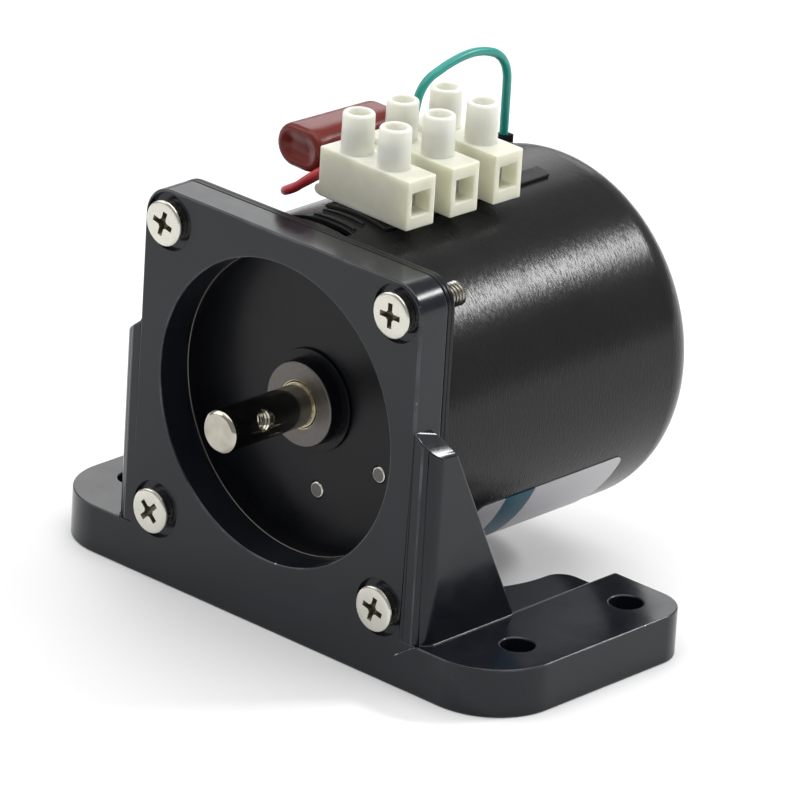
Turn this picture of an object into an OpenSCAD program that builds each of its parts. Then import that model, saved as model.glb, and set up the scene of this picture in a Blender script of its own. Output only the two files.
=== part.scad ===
// Geared synchronous motor in a foot bracket.
// Origin: centre of the four foot holes, on the underside. +Z is up and the shaft points along -Y.
// Lengths are millimetres. "Back" is the distance behind the front face of the face plate.

/* [Bracket] */
// Side of the square face plate and of the motor's square flange
plate_w = 60; // [58:0.5:66]
// Thickness of the face plate
plate_t = 6.1; // [4:0.1:8]
// Radius of the plate's top corners
plate_corner = 5; // [1:0.5:7]
// Round window in the plate
window_d = 50.3; // [44:0.1:52]
// Height of the shaft axis above the underside
axis_h = 37; // [36:0.5:45]
// Distance of the flange screws from the plate's edges
screw_inset = 5.25; // [5:0.05:6]
// Height of the gussets where they meet the plate
gusset_h = 43; // [30:0.5:55]
// How far the gusset stands out from the plate's side
gusset_out = 4.2; // [3:0.1:6]
// Wall of the gusset behind the plate
gusset_wall = 3.2; // [2:0.1:4]
// Where the gusset's slope meets the foot, back
gusset_run = 21.3; // [14:0.1:30]
// Thickness of the feet
foot_t = 8.2; // [6.6:0.1:12]
// Length of the feet, front to back
foot_len = 46.2; // [44:0.1:60]
// Distance between foot holes, side to side
hole_span_x = 85; // [82:0.5:100]
// Distance between foot holes, front to back
hole_span_y = 25.5; // [18:0.5:28]
// Foot hole
foot_hole_d = 5.5; // [4:0.1:6.5]
// Front face to the front foot holes
hole_front = 13.25; // [12:0.25:14]
// Outer edge of the foot to its holes
foot_edge = 8; // [6:0.1:12]
// Thickness of the low web between the feet
web_t = 5; // [2:0.1:6]
// Radius of the half-round relief in the web
relief_r = 22.5; // [16:0.5:25]

/* [Motor body] */
// Flange edge to the side of the can
can_inset = 0.4; // [0.2:0.1:1]
// Sheet of the can
can_wall = 0.8; // [0.5:0.1:1.1]
// Length of the can behind the flange
can_len = 61; // [54:0.5:75]
// Outer radius of the can's rear edge
can_round = 7.25; // [4:0.25:10]
// Sheet of the flange and of the gear plate
sheet_t = 0.8; // [0.6:0.1:1.2]
// Round recess in the motor's face
recess_d = 50.6; // [46:0.2:52]
// Depth of the recess behind the flange face
recess_depth = 2.9; // [2.2:0.1:6]
// Thickness of the gear plate's floor
floor_t = 1.2; // [0.8:0.1:2]
// Bearing boss on the gear plate
boss_d = 14.1; // [12:0.1:18]
// Height of the boss above the gear plate
boss_h = 3.3; // [1:0.1:6]

/* [Shaft and gears] */
// Output shaft
shaft_d = 7; // [5:0.1:8]
// Shaft in front of the boss
shaft_out = 18.1; // [12:0.1:30]
// Cross hole in the shaft
cross_d = 3.6; // [2:0.1:4.2]
// Shaft tip to the cross hole
cross_back = 7.35; // [4:0.05:9]
// Tilt of the cross hole above level
cross_tilt = 20; // [0:5:90]
// Gear module
gear_m = 0.5; // [0.44:0.01:0.52]
// Teeth of the rotor pinion
rotor_teeth = 22; // [20:1:26]
// Teeth of the first wheel
wheel1_teeth = 38; // [34:1:42]
// Teeth of the first pinion
pinion1_teeth = 22; // [20:1:26]
// Teeth of the second wheel
wheel2_teeth = 37; // [34:1:40]
// Teeth of the second pinion
pinion2_teeth = 25; // [22:1:28]
// Teeth of the output gear
output_teeth = 43; // [38:1:46]
// Face width of each gear
gear_w = 4; // [3:0.1:5]
// Gap between neighbouring gear planes
gear_gap = 1.6; // [1.2:0.1:2]
// Axle pins of the two idler gears
pin_d = 2.8; // [2:0.1:3.6]
// Rotor shaft
rotor_d = 3; // [2:0.1:4]

/* [Rotor and stator] */
// Ring magnet
magnet_d = 40.4; // [34:0.2:44]
// Radial thickness of the magnet
magnet_t = 5.2; // [3:0.1:8]
// Air gap between magnet and claws
air_gap = 0.5; // [0.3:0.1:1]
// Thickness of the stator sheet
stator_t = 1; // [0.6:0.1:1.5]
// Claws on each stator half
claws = 12; // [6:1:12]

/* [Terminal block] */
// Middle of the block, back
block_back = 29; // [27:0.5:33]
// Middle of the block, right of the shaft axis
block_x = 1.85; // [0:0.05:3]
// Turn of the block, clockwise from above
block_turn = 2; // [0:0.5:4]
// Length of a pole, wire end to wire end
block_l = 19.9; // [18:0.1:24]
// Height of the poles
block_h = 8.3; // [7:0.1:10]
// Width of a pole
pole_w = 6.1; // [5.4:0.1:7.5]
// Distance between poles
pole_pitch = 9.7; // [8.6:0.1:11]
// Square wire entry
entry_w = 3.9; // [3.2:0.1:4.4]
// Screw tower
tower_d = 5.35; // [4.8:0.05:5.9]
// Height of the screw towers
tower_h = 6.7; // [5:0.1:9]
// Distance between the two towers of a pole
tower_gap = 8.2; // [7:0.1:9]

/* [Capacitor and leads] */
// Width of the capacitor
cap_w = 10.2; // [8:0.1:11]
// Thickness of the capacitor
cap_t = 7.2; // [5:0.1:8]
// Length of the capacitor
cap_len = 18.8; // [15:0.1:20]
// Turn of the capacitor, clockwise from above
cap_turn = 3; // [0:0.5:4]
// Insulation of the motor leads
lead_d = 1.5; // [1:0.1:1.7]

/* [Hidden] */
$fn = 96;
cut = 1;          // how far a cutter runs past what it cuts
seat = 0.05;      // gap left between pieces that seat on each other
run_gap = 0.05;   // radial clearance of a running fit
end_play = 0.3;   // axial clearance of a turning piece

// Bracket
front_y = -(hole_front + hole_span_y / 2);
web_gap = 0.5;
shaft_h = max(axis_h, plate_w / 2 + web_t + web_gap);
plate_top = shaft_h + plate_w / 2;
screw_off = plate_w / 2 - screw_inset;
gusset_x = plate_w / 2 + gusset_out;
gusset_set_back = 0.3;
gusset_round = 2.6;
gusset_top_round = 2.2;
gusset_top_run = 4.3;
gusset_drop = 0.9;
foot_x = hole_span_x / 2 + foot_edge;
foot_in_x = gusset_x - 1.4;
foot_front_r = 12;
foot_rear_r = 6.5;
foot_inner_r = 1;
foot_top_r = 1.2;
web_back = foot_len - 0.6;
relief_back = foot_len - 4.2;
web_corner_r = 3.5;
screw_d = 4;
screw_clear_d = screw_d + 0.4;
head_d = 8;
head_seat_d = head_d + 1.5;
head_seat_depth = 0.8;
head_proud = 1.2;
screw_len = plate_t + 2 * sheet_t + 5.8;

// Motor body, in the motor's frame: Y is the distance back and Z is counted from the axis
flange_corner = 3;
flange_back = plate_t;
gear_plate_back = flange_back + sheet_t;
can_back = gear_plate_back + sheet_t;
floor_back = flange_back + recess_depth;
floor_rear = floor_back + floor_t;
boss_back = floor_back - boss_h;
boss_ring_d = boss_d + 2.9;
boss_ring_t = 0.6;
boss_lip = 0.8;
bush_wall = 0.35;
recess_wall_r = recess_d / 2 + sheet_t;
can_r = max(plate_w / 2 - can_inset, recess_wall_r + seat + can_wall);
can_in_r = can_r - can_wall;
can_rear = can_back + can_len;
shell_r = can_in_r - 0.1;
shaft_r = shaft_d / 2;
shaft_shoulder = 0.25;
journal_r = shaft_r + shaft_shoulder;
journal_proud = 0.15;
bush_in_r = journal_r + run_gap;
bush_out_r = bush_in_r + bush_wall;
tip_back = boss_back - shaft_out;
tip_chamfer = 0.5;

// Gear planes, counted from the front
plane1 = floor_rear + 1;
plane2 = plane1 + gear_w + gear_gap;
plane3 = plane2 + gear_w + gear_gap;
gears_rear = plane3 + gear_w;
mid_plate_t = 1.5;
mid_gap = 2.6;
mid_back = gears_rear + mid_gap;
mid_rear = mid_back + mid_plate_t;
pressure_angle = 20;
backlash = 0.08;
flank_steps = 3;
reach1 = gear_m * (rotor_teeth + wheel1_teeth) / 2;
reach2 = gear_m * (pinion1_teeth + wheel2_teeth) / 2;
reach3 = gear_m * (pinion2_teeth + output_teeth) / 2;
pin1_angle = -82.4;
pin2_angle = pin1_angle
    + acos((reach1 * reach1 + reach3 * reach3 - reach2 * reach2) / (2 * reach1 * reach3));
pin1 = reach1 * [cos(pin1_angle), sin(pin1_angle)];
pin2 = reach3 * [cos(pin2_angle), sin(pin2_angle)];
pin_line = atan2(pin2[1] - pin1[1], pin2[0] - pin1[0]);
rotor_phase = pin1_angle;
wheel1_phase = mesh_phase(rotor_phase, rotor_teeth, wheel1_teeth, pin1_angle);
wheel2_phase = mesh_phase(wheel1_phase, pinion1_teeth, wheel2_teeth, pin_line);
output_phase = mesh_phase(wheel2_phase, pinion2_teeth, output_teeth, pin2_angle + 180);
pin_proud = 0.15;
hub_wall = 1.2;
clip_t = 0.6;
clip_w = 1.4;
clip_groove = 0.6;
clip_angles = [20, 340];
washer_t = 0.5;
washer_w = 2.6;
output_rear = plane1 + gear_w + 2 * seat + clip_t + 0.5;
rotor_lead = 0.8;
rotor_front = plane3 - rotor_lead;
spacer_r = 1.8;
spacer_ring_r = recess_d / 2 - 3.3;
spacer_angles = [20, 120, 220];

// Rotor and stator
stator_gap = 2.5;
stator_rear_gap = 1.4;
stator_back = mid_rear + stator_gap;
stator_end = can_rear - can_round - stator_rear_gap;
stator_wall_r = shell_r - stator_t;
claw_r = magnet_d / 2 + air_gap;
claw_out_r = claw_r + stator_t;
claw_pitch = 360 / claws;
claw_root = claw_pitch * 0.37;
claw_tip = claw_pitch * 0.23;
claw_stop = 2;
magnet_gap = 1.8;
magnet_back = stator_back + stator_t + magnet_gap;
magnet_end = stator_end - stator_t - magnet_gap;
hub_ring_t = 2;
hub_web_t = 3;
bobbin_r = claw_out_r + 0.2;
bobbin_wall = 0.8;
rotor_end_gap = 1;
rotor_end = can_rear - can_wall - rotor_end_gap;
bush_flange_r = 7;
bush_flange_t = 1.2;
rotor_bush_wall = 2.2;
rotor_bush_r = rotor_d / 2 + rotor_bush_wall;
rotor_bush_len = 5.4;
front_bush_proud = 0.8;
front_bush_lip = 1.3;
front_bush_flange_r = rotor_bush_r + front_bush_lip;
hub_core_wall = 2.5;
hub_core_r = rotor_d / 2 + hub_core_wall;

// Outside of the can
slot_gap = 1.5;
slot_back = can_back + slot_gap;
slot_w = 1.6;
slot_angles = [-16, 9.5];
rib_h = 0.45;
rib_w = 0.7;
rib_root = 0.2;
rib_backs = [2.2, 4.8];
rib_angles = [[-8.5, 8.5], [-9.4, 7.2]];
label_t = 0.15;
label_front_gap = 11.8;
label_rear_gap = 7.4;
label_back = can_back + label_front_gap;
label_end = can_rear - can_round - label_rear_gap;
label_angles = [115.4, 244.6];
base_t = 0.6;
base_angles = [-12, 12.9];
base_margin = 0.25;
base_reach = pole_pitch + pole_w / 2 + base_margin;
base_back = block_back - base_reach;
base_end = block_back + base_reach;
tongue_angle = 7.6;
tongue_gap = 6.9;
tongue_end = can_rear - can_round - tongue_gap;

// Terminal block, with its own X and Y from the middle and Z from its underside
block_z = can_r + base_t + seat;
tower_x = [3.45 - tower_gap, 3.45];
entry_z = 4.1;
entry_x = block_x - block_l / 2;
web_x = [1.5 - block_l / 2, 1.9];
web_h = block_h - 2;
web_step = 0.8;
tower_bore_d = 3.6;
tower_round = 0.5;
tower_taper = 0.08;
clamp_w = entry_w - 0.2;
clamp_bore_d = clamp_w - 0.9;
clamp_inset = 3.3;
grub_d = 2.4;
grub_head_d = tower_bore_d - 0.3;
grub_head_h = 2.6;
grub_sink = 2.4;
grub_slot = 0.6;
grub_top = block_h + tower_h - grub_sink;

// Capacitor, which hangs beside the block on its leads
cap_gap = 0.5;
cap_lift = 2.35;
cap_shift = 2.1;
cap_x = entry_x - cap_gap - cap_w / 2;
cap_back = block_back - cap_shift;
cap_z = block_z + cap_lift + cap_t / 2;
cap_edge = 1;

// Where the leads end: X, distance back and height above the axis
grommet_d = 3.4;
grommet_drop = 2.4;
grommet_at = [entry_x - 4.5, block_back, can_r - 2];
lug_w = 2.2;
lug_len = 2.8;
lug_front = 1.6;
lug_drop = 4;
lug_at = [entry_x - 1.9, can_rear - can_round + 0.25, can_r];

// Routes of the leads, first counted from the mouth of a wire entry, then from the lead's end
red_start = [
    [2.8, -0.4, -0.05], [0.5, -0.4, -0.05], [-0.8, -0.9, -0.35], [-1.8, -2.4, -1.35],
    [-3.1, -3.1, -2.55], [-4.5, -3.5, -3.85], [-6, -3.6, -4.75], [-7.2, -3, -5.35],
    [-8, -1.6, -5.75], [-8.6, 0.4, -6.05], [-8.9, 2.7, -6.05], [-8.6, 5.1, -5.45]
];
red_end = [[-3.2, -2.5, 2.3], [-1.9, -0.9, 2.9], [-0.6, -0.1, 2.4], [0, 0, 1.2], [0, 0, 0]];
green_start = [
    [2.6, 1, 0.05], [0.3, 1, 0.05], [-1.2, 1.1, 0.95], [-1.9, 1.2, 2.85], [-1.9, 1.5, 5.05],
    [-1.9, 2.3, 7.25], [-1.9, 3.9, 8.85], [-1.9, 6.7, 9.95], [-1.9, 9.8, 10.75],
    [-1.9, 12.9, 11.15]
];
green_end = [
    [0, -7.4, 15.8], [0, -4.8, 15.2], [0, -2.6, 14.2], [0, -1, 12.6], [0, -0.2, 10.7],
    [0, 0, 8.4], [0, 0, 5.9], [0, 0, 3.4], [0, 0, 1.6], [0, 0, 0]
];
lead_sides = 8;

// Bare leads of the capacitor, counted from the mouth of the wire entry that each goes into
cap_lead_d = 0.8;
near_lead = [
    [-2.4, 1, -1.65], [-2.2, 1, -2.35], [-1.3, 1, -2.25], [-0.3, 1.05, -1.15],
    [0.7, 1.05, -0.25], [2.1, 1, -0.05], [3.5, 0.6, -0.05]
];
far_lead = [
    [-2.4, -4.3, -1.75], [-2.3, -3.9, -2.35], [-1.5, -2.9, -2.45], [-0.7, -1.8, -1.75],
    [0.1, -1.1, -0.75], [1.5, -0.9, -0.05], [3.5, -0.4, -0.05]
];

// Involute gear outline
function involute(a) = tan(a) - a * PI / 180;

function half_angle(r, base_r, half_tooth) =
    half_tooth + (involute(pressure_angle) - involute(acos(min(1, base_r / r)))) * 180 / PI;

function tooth(c, r0, r1, root_r, base_r, half_tooth) = concat(
    [for (k = [-1 : flank_steps]) flank_point(c, -1, k, r0, r1, root_r, base_r, half_tooth)],
    [for (k = [flank_steps : -1 : -1]) flank_point(c, 1, k, r0, r1, root_r, base_r, half_tooth)]
);

function flank_point(c, side, k, r0, r1, root_r, base_r, half_tooth) =
    let (
        r = r0 + (r1 - r0) * max(k, 0) / flank_steps,
        a = c + side * half_angle(r, base_r, half_tooth),
        reach = k < 0 ? root_r : r
    )
    reach * [cos(a), sin(a)];

function gear_points(teeth, phase) =
    let (
        pitch_r = gear_m * teeth / 2,
        base_r = pitch_r * cos(pressure_angle),
        root_r = pitch_r - 1.25 * gear_m,
        start_r = max(base_r, root_r + 0.05 * gear_m),
        half_tooth = 90 / teeth - backlash / 2 / pitch_r * 180 / PI
    )
    [for (i = [0 : teeth - 1])
        each tooth(phase + i * 360 / teeth, start_r, pitch_r + gear_m, root_r, base_r, half_tooth)];

// Phase that puts a follower's gap where the driver's tooth comes, for centres along line
function mesh_phase(driver_phase, driver_teeth, teeth, line) =
    line + 180 + 180 / teeth - (driver_phase - line) * driver_teeth / teeth;

// Round tube along a route, with one ring of points at each route point
function unit(v) = v / norm(v);

function counted_from(place, route) = [for (p = route) p + place];

function from_entry(route, pole) =
    counted_from([entry_x, block_back + pole * pole_pitch, block_z + entry_z], route);

function travel(route, i) =
    unit(route[min(i + 1, len(route) - 1)] - route[max(i - 1, 0)]);

function across(t, v) = unit(v - (v * t) * t);

function sides_of(route) = [
    for (i = 0, v = across(travel(route, 0), [0.1, 0.2, 1]);
        i < len(route);
        i = i + 1, v = across(travel(route, min(i, len(route) - 1)), v))
    v
];

module tube(route, d) {
    u = sides_of(route);
    points = [
        for (i = [0 : len(route) - 1], k = [0 : lead_sides - 1])
            let (a = k * 360 / lead_sides, t = travel(route, i))
            route[i] + d / 2 * (cos(a) * u[i] + sin(a) * cross(t, u[i]))
    ];
    last = (len(route) - 1) * lead_sides;
    walls = [
        for (i = [0 : len(route) - 2], k = [0 : lead_sides - 1])
            let (a = i * lead_sides + k, b = i * lead_sides + (k + 1) % lead_sides)
            each [[a, a + lead_sides, b + lead_sides], [a, b + lead_sides, b]]
    ];
    caps = [
        for (k = [1 : lead_sides - 2])
            each [[0, k, k + 1], [last, last + k + 1, last + k]]
    ];
    polyhedron(points = points, faces = concat(walls, caps), convexity = 6);
}

// Drawing frames and profiles
module at_bracket() {
    translate([0, front_y, 0]) children();
}

module at_motor() {
    translate([0, front_y, shaft_h]) children();
}

module at_block() {
    at_motor() translate([block_x, block_back, block_z]) rotate([0, 0, -block_turn]) children();
}

// A flat shape drawn in X and Z, seen from the front, from y0 back to y1
module slab(y0, y1) {
    translate([0, y1, 0]) rotate([90, 0, 0]) linear_extrude(y1 - y0) children();
}

// A flat shape drawn in Y and Z, from x0 to x1
module side_slab(x0, x1) {
    translate([x0, 0, 0]) rotate([90, 0, 90]) linear_extrude(x1 - x0) children();
}

// A profile of radius and distance back, turned about the shaft axis
module turned() {
    rotate([-90, 0, 0]) rotate_extrude() children();
}

module disc(y0, y1, r) {
    translate([0, y0, 0]) rotate([-90, 0, 0]) cylinder(h = y1 - y0, r = r);
}

module ring(y0, y1, r_out, r_in) {
    difference() {
        disc(y0, y1, r_out);
        disc(y0 - cut, y1 + cut, r_in);
    }
}

// Part of a ring, between two angles counted from the top towards +X
module arc_bar(y0, y1, r_out, r_in, angles) {
    rotate([-90, 0, 0]) rotate([0, 0, angles[0] - 90])
        rotate_extrude(angle = angles[1] - angles[0])
            translate([r_in, y0]) square([r_out - r_in, y1 - y0]);
}

// What is cut off a square corner at the origin, its material towards +X and +Y
module corner_cut(r) {
    difference() {
        translate([-cut, -cut]) square(r + cut);
        translate([r, r]) circle(r);
    }
}

module rounded_square(w, r) {
    difference() {
        square(w, center = true);
        for (a = [0 : 90 : 270]) rotate(a) translate([-w / 2, -w / 2]) corner_cut(r);
    }
}

module at_screws() {
    for (x = [-screw_off, screw_off], z = [-screw_off, screw_off])
        translate([x, 0, z]) children();
}

module on_both_sides() {
    children();
    mirror([1, 0, 0]) children();
}

// Bracket: face plate, two gussets, two feet and the low web, one casting
module plate_outline() {
    difference() {
        translate([-plate_w / 2, 0]) square([plate_w, plate_top]);
        for (m = [0, 1])
            mirror([m, 0]) translate([plate_w / 2, plate_top]) rotate(180) corner_cut(plate_corner);
    }
}

module foot_plan() {
    x0 = plate_w / 2 - cut;
    difference() {
        translate([x0, 0]) square([foot_x - x0, foot_len]);
        translate([x0 - cut, plate_t + cut]) square([foot_in_x - x0 + cut, foot_len]);
        translate([foot_x, 0]) rotate(90) corner_cut(foot_front_r);
        translate([foot_x, foot_len]) rotate(180) corner_cut(foot_rear_r);
        translate([foot_in_x, foot_len]) rotate(-90) corner_cut(foot_inner_r);
    }
}

module foot_section() {
    difference() {
        square([foot_x + cut, foot_t]);
        translate([foot_in_x, foot_t]) rotate(-90) corner_cut(foot_top_r);
        translate([-cut, web_t]) square([foot_in_x + cut, foot_t]);
    }
}

module foot() {
    intersection() {
        linear_extrude(foot_t) foot_plan();
        slab(0, foot_len) foot_section();
    }
}

module gusset() {
    low = foot_t / 2;
    intersection() {
        side_slab(plate_w / 2, gusset_x)
            polygon([
                [gusset_set_back, 0], [gusset_set_back, gusset_h],
                [gusset_top_run, gusset_h - 0.2], [gusset_run, foot_t], [gusset_run, low],
                [plate_t, 0]
            ]);
        linear_extrude(gusset_h) difference() {
            translate([plate_w / 2, 0]) square([gusset_out, gusset_run]);
            translate([0, plate_t]) square([gusset_x - gusset_wall, gusset_run]);
            translate([gusset_x, gusset_set_back]) rotate(90) corner_cut(gusset_round);
        }
        slab(0, gusset_run) difference() {
            polygon([
                [plate_w / 2, 0], [gusset_x, 0], [gusset_x, gusset_h - gusset_drop],
                [plate_w / 2, gusset_h]
            ]);
            translate([gusset_x, gusset_h - gusset_drop]) rotate(180) corner_cut(gusset_top_round);
        }
    }
}

module web() {
    linear_extrude(web_t) difference() {
        translate([-gusset_x + 0.1, 0]) square([2 * gusset_x - 0.2, web_back]);
        translate([0, relief_back]) circle(relief_r);
        translate([-relief_r, relief_back]) square([2 * relief_r, foot_len]);
        for (m = [0, 1])
            mirror([m, 0]) translate([relief_r, web_back]) rotate(-90) corner_cut(web_corner_r);
    }
}

module foot_holes() {
    for (x = [-1, 1], y = [0, 1])
        translate([x * hole_span_x / 2, hole_front + y * hole_span_y, -cut])
            cylinder(h = foot_t + 2 * cut, d = foot_hole_d);
}

module bracket() {
    color("#3c3f44") at_bracket() difference() {
        union() {
            slab(0, plate_t) plate_outline();
            web();
            on_both_sides() gusset();
            on_both_sides() foot();
        }
        foot_holes();
        translate([0, 0, shaft_h]) {
            disc(-cut, plate_t + cut, window_d / 2);
            at_screws() disc(-cut, plate_t + cut, screw_clear_d / 2);
            at_screws() disc(-cut, head_seat_depth, head_seat_d / 2);
        }
    }
}

// Flat-head screws, seated in the plate's recesses
module bracket_screw() {
    neck = (head_d - screw_d) / 2;
    cross_depth = 1.4;
    cross_w = 1;
    cross_l = 4.6;
    seat_y = head_seat_depth - seat;
    difference() {
        union() {
            disc(-head_proud, seat_y, head_d / 2);
            turned() polygon([
                [0, seat_y - 0.1], [screw_clear_d / 2 - seat, seat_y - 0.1],
                [screw_d / 2, seat_y + neck / 2], [0, seat_y + neck / 2]
            ]);
            disc(0, screw_len - head_proud, screw_d / 2);
        }
        slab(-head_proud - cut, cross_depth - head_proud) {
            square([cross_l, cross_w], center = true);
            square([cross_w, cross_l], center = true);
        }
    }
}

module bracket_screws() {
    cross_turns = [45, 15, 15, 0];
    color("#c9c6bd") at_motor() for (i = [0, 1], j = [0, 1])
        translate([(2 * i - 1) * screw_off, 0, (2 * j - 1) * screw_off])
            rotate([0, cross_turns[i * 2 + j], 0]) bracket_screw();
}

// Motor face: square flange sheet, then the gear plate with its recess
module front_flange() {
    color("#1b1c1e") at_motor() difference() {
        slab(flange_back + seat / 2, gear_plate_back - seat / 2)
            rounded_square(plate_w, flange_corner);
        disc(flange_back - cut, gear_plate_back + cut, recess_d / 2);
        at_screws() disc(flange_back - cut, gear_plate_back + cut, screw_d / 2 + seat);
    }
}

module gear_plate() {
    color("#16171a") at_motor() difference() {
        union() {
            slab(gear_plate_back, can_back - seat) rounded_square(plate_w, flange_corner);
            disc(gear_plate_back, floor_rear, recess_wall_r);
        }
        disc(gear_plate_back - cut, floor_back, recess_d / 2);
        disc(gear_plate_back, floor_rear + cut, bush_out_r + seat);
        for (p = [pin1, pin2])
            translate([p[0], 0, p[1]]) disc(gear_plate_back, floor_rear + cut, pin_d / 2 + seat);
        at_screws() disc(gear_plate_back - cut, can_back + cut, screw_d / 2 + seat);
    }
}

module output_boss() {
    color("#7d7b7e") at_motor() difference() {
        union() {
            disc(boss_back, floor_back - seat, boss_d / 2);
            disc(floor_back - boss_ring_t, floor_back - seat, boss_ring_d / 2);
        }
        disc(boss_back - cut, floor_back + cut, bush_in_r);
        disc(boss_back + boss_lip, floor_back + cut, bush_out_r + seat);
    }
}

// Bronze liner, held behind the boss's front lip
module output_bush() {
    color("#c8bfa0") at_motor()
        ring(boss_back + boss_lip + seat, floor_rear, bush_out_r, bush_in_r);
}

module thrust_washer() {
    color("#b08d57") at_motor()
        ring(floor_rear + seat, floor_rear + seat + washer_t, journal_r + washer_w, bush_in_r);
}

module axle_pins() {
    color("#6d6f72") at_motor() for (p = [pin1, pin2])
        translate([p[0], 0, p[1]]) disc(floor_back - pin_proud, mid_rear, pin_d / 2);
}

module plate_spacers() {
    color("#8a8c8f") at_motor() for (a = spacer_angles)
        translate([spacer_ring_r * cos(a), 0, spacer_ring_r * sin(a)])
            disc(floor_rear + seat, mid_back - seat, spacer_r);
}

module mid_plate() {
    color("#a7a9ab") at_motor() difference() {
        disc(mid_back, mid_rear, shell_r);
        disc(mid_back - cut, mid_rear + cut, rotor_bush_r + seat);
        for (p = [pin1, pin2])
            translate([p[0], 0, p[1]]) disc(mid_back - cut, mid_rear + cut, pin_d / 2 + seat);
    }
}

module rotor_front_bush() {
    color("#b08d57") at_motor() difference() {
        union() {
            disc(mid_back - front_bush_proud, mid_rear + bush_flange_t, rotor_bush_r);
            disc(mid_rear + seat, mid_rear + bush_flange_t, front_bush_flange_r);
        }
        disc(mid_back - 2 * cut, mid_rear + 2 * cut, rotor_d / 2 + run_gap);
    }
}

module rotor_rear_bush() {
    rear = can_rear - can_wall - seat;
    color("#b08d57") at_motor() difference() {
        union() {
            disc(rear - rotor_bush_len, rear, rotor_bush_r);
            disc(rear - bush_flange_t, rear, bush_flange_r);
        }
        disc(rear - rotor_bush_len - cut, rear + cut, rotor_d / 2 + run_gap);
    }
}

// Claws stand on a stator half and taper towards their tips
module claw_ring(root_back, tip_back, first_angle) {
    lean = root_back < tip_back ? 1 : -1;
    low = min(root_back, tip_back);
    high = max(root_back, tip_back);
    root_w = 2 * claw_r * tan(claw_root / 2);
    tip_w = 2 * claw_r * tan(claw_tip / 2);
    intersection() {
        ring(low, high, claw_out_r, claw_r);
        for (i = [0 : claws - 1])
            rotate([0, first_angle + i * claw_pitch, 0])
                linear_extrude(claw_out_r + cut)
                    polygon([
                        [-root_w / 2, root_back], [-tip_w / 2, tip_back],
                        [tip_w / 2, tip_back], [root_w / 2, root_back]
                    ]);
    }
}

module stator_front() {
    color("#8f9194") at_motor() union() {
        ring(stator_back, stator_back + stator_t, shell_r, claw_r);
        ring(stator_back, stator_end - stator_t - seat, shell_r, stator_wall_r);
        claw_ring(stator_back + stator_t / 2, stator_end - stator_t - claw_stop, 0);
    }
}

module stator_rear() {
    color("#8f9194") at_motor() union() {
        ring(stator_end - stator_t, stator_end, shell_r, claw_r);
        claw_ring(stator_end - stator_t / 2, stator_back + stator_t + claw_stop, claw_pitch / 2);
    }
}

module coil_bobbin() {
    front = stator_back + stator_t + seat;
    rear = stator_end - stator_t - 2 * seat;
    out = stator_wall_r - 0.1;
    color("#d9d2b8") at_motor() {
        ring(front, rear, bobbin_r + bobbin_wall, bobbin_r);
        ring(front, front + bobbin_wall, out, bobbin_r);
        ring(rear - bobbin_wall, rear, out, bobbin_r);
    }
}

module coil_winding() {
    front = stator_back + stator_t + seat + bobbin_wall;
    rear = stator_end - stator_t - 2 * seat - bobbin_wall;
    color("#a4562c") at_motor()
        ring(front + seat, rear - seat, stator_wall_r - 0.4, bobbin_r + bobbin_wall + seat);
}

// Deep-drawn can with a rolled rear edge, a lead slot and two pressed ribs behind the flange
module can_solid(r, len, edge_r) {
    square([r, len - edge_r]);
    square([r - edge_r, len]);
    translate([r - edge_r, len - edge_r]) circle(edge_r);
}

module motor_can() {
    color("#2d2d2f") at_motor() difference() {
        union() {
            translate([0, can_back, 0]) turned() difference() {
                can_solid(can_r, can_len, can_round);
                translate([-cut, -cut])
                    can_solid(can_in_r + cut, can_len - can_wall + cut, can_round - can_wall);
                translate([-can_r, 0]) square([can_r, can_len]);
            }
            for (i = [0, 1]) let (rib_back = slot_back + rib_backs[i])
                arc_bar(rib_back, rib_back + rib_w, can_r + rib_h, can_r - rib_root, rib_angles[i]);
        }
        arc_bar(slot_back, slot_back + slot_w, can_r + cut, can_in_r - cut, slot_angles);
    }
}

module blank_label() {
    color("#a9a8ad") at_motor()
        arc_bar(label_back, label_end, can_r + seat + label_t, can_r + seat, label_angles);
}

// Thin strip that carries the terminal block, with a tongue that runs back along the can
module terminal_base() {
    low = can_r + seat / 2;
    tongue_x = low * sin(tongue_angle);
    color("#1c1c1e") at_motor() difference() {
        arc_bar(base_back, tongue_end, can_r + base_t, low, base_angles);
        translate([tongue_x - can_r, base_end, 0]) cube([can_r, can_len, can_r + block_h]);
    }
}

module at_poles() {
    for (i = [-1 : 1]) translate([0, i * pole_pitch, 0]) children();
}

module tower(h) {
    rim_r = tower_d / 2 - tower_taper;
    rotate_extrude() {
        polygon([[0, 0], [tower_d / 2, 0], [rim_r, h - tower_round], [0, h - tower_round]]);
        square([rim_r - tower_round, h]);
        translate([rim_r - tower_round, h - tower_round]) intersection() {
            circle(tower_round);
            square(tower_round);
        }
    }
}

module terminal_block() {
    color("#dfdfd2") at_block() difference() {
        union() {
            at_poles() {
                translate([-block_l / 2, -pole_w / 2, 0]) cube([block_l, pole_w, block_h]);
                for (x = tower_x)
                    translate([x, 0, block_h - cut]) tower(tower_h + cut);
            }
            translate([web_x[0], -pole_pitch, 0])
                cube([web_x[1] - web_x[0], 2 * pole_pitch, web_h]);
            translate([web_x[0] + web_step, -pole_pitch, 0])
                cube([tower_x[0] - web_x[0], 2 * pole_pitch, web_h + web_step]);
            translate([-block_l / 2, -pole_pitch - pole_w / 2, 1])
                rotate([-90, 0, 0]) cylinder(h = 1.8, r = 0.9);
        }
        at_poles() {
            translate([-block_l / 2 - cut, -entry_w / 2, entry_z - entry_w / 2])
                cube([block_l + 2 * cut, entry_w, entry_w]);
            for (x = tower_x)
                translate([x, 0, entry_z]) cylinder(h = block_h + tower_h, d = tower_bore_d);
        }
    }
}

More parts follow.
